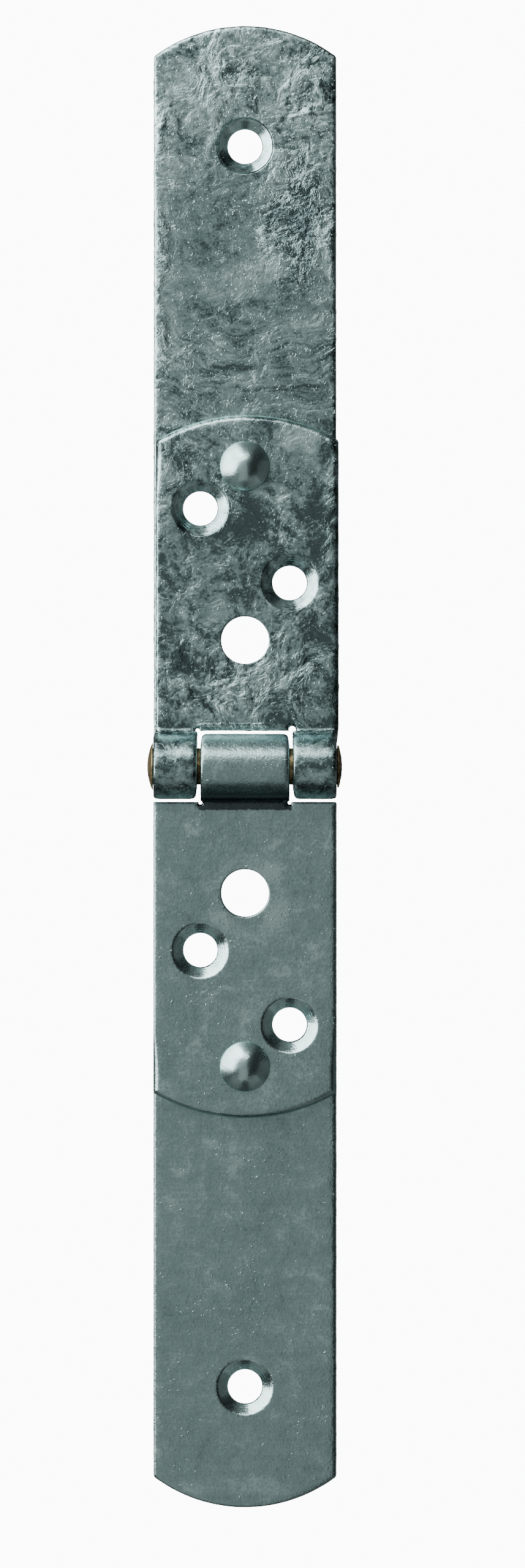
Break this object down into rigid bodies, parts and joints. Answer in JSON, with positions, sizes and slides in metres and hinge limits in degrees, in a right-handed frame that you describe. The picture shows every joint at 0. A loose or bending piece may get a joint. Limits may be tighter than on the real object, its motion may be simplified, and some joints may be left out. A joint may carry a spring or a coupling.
{
  "type": "hatch hinge",
  "caption": "Galvanised strap hinge for a hatch: two folded straps rolled round a brass pin, with screw and bolt holes and a domed rivet closing each fold.",
  "frame": {"origin": "on the flat back of the hinge, straight behind the middle of the pin", "axes": "+X along the pin, towards its peened end; +Y along the straps, towards the leaf with two knuckles; +Z out of the front, where the knuckles, tabs and rivet heads stand"},
  "size_m": [0.0371, 0.2826, 0.0125],
  "materials": {
    "zinc": "hot-dip galvanised, mottled blue-grey zinc with fine lumps and wiped streaks",
    "rivet_zinc": "galvanised, smoother and brighter than the straps",
    "pin_brass": "aged brass, dull and brownish"
  },
  "bodies": {
    "upper_side": {"upper_leaf": "zinc", "hinge_pin": "pin_brass", "upper_rivet": "rivet_zinc"},
    "lower_side": {"lower_leaf": "zinc", "lower_rivet": "rivet_zinc"}
  },
  "joints": [
    {"name": "hinge_turn", "type": "hinge", "parent": "upper_side", "child": "lower_side", "pos_m": [0, 0, 0.00625], "axis": [-1, 0, 0], "range_deg": [-94, 175]}
  ]
}
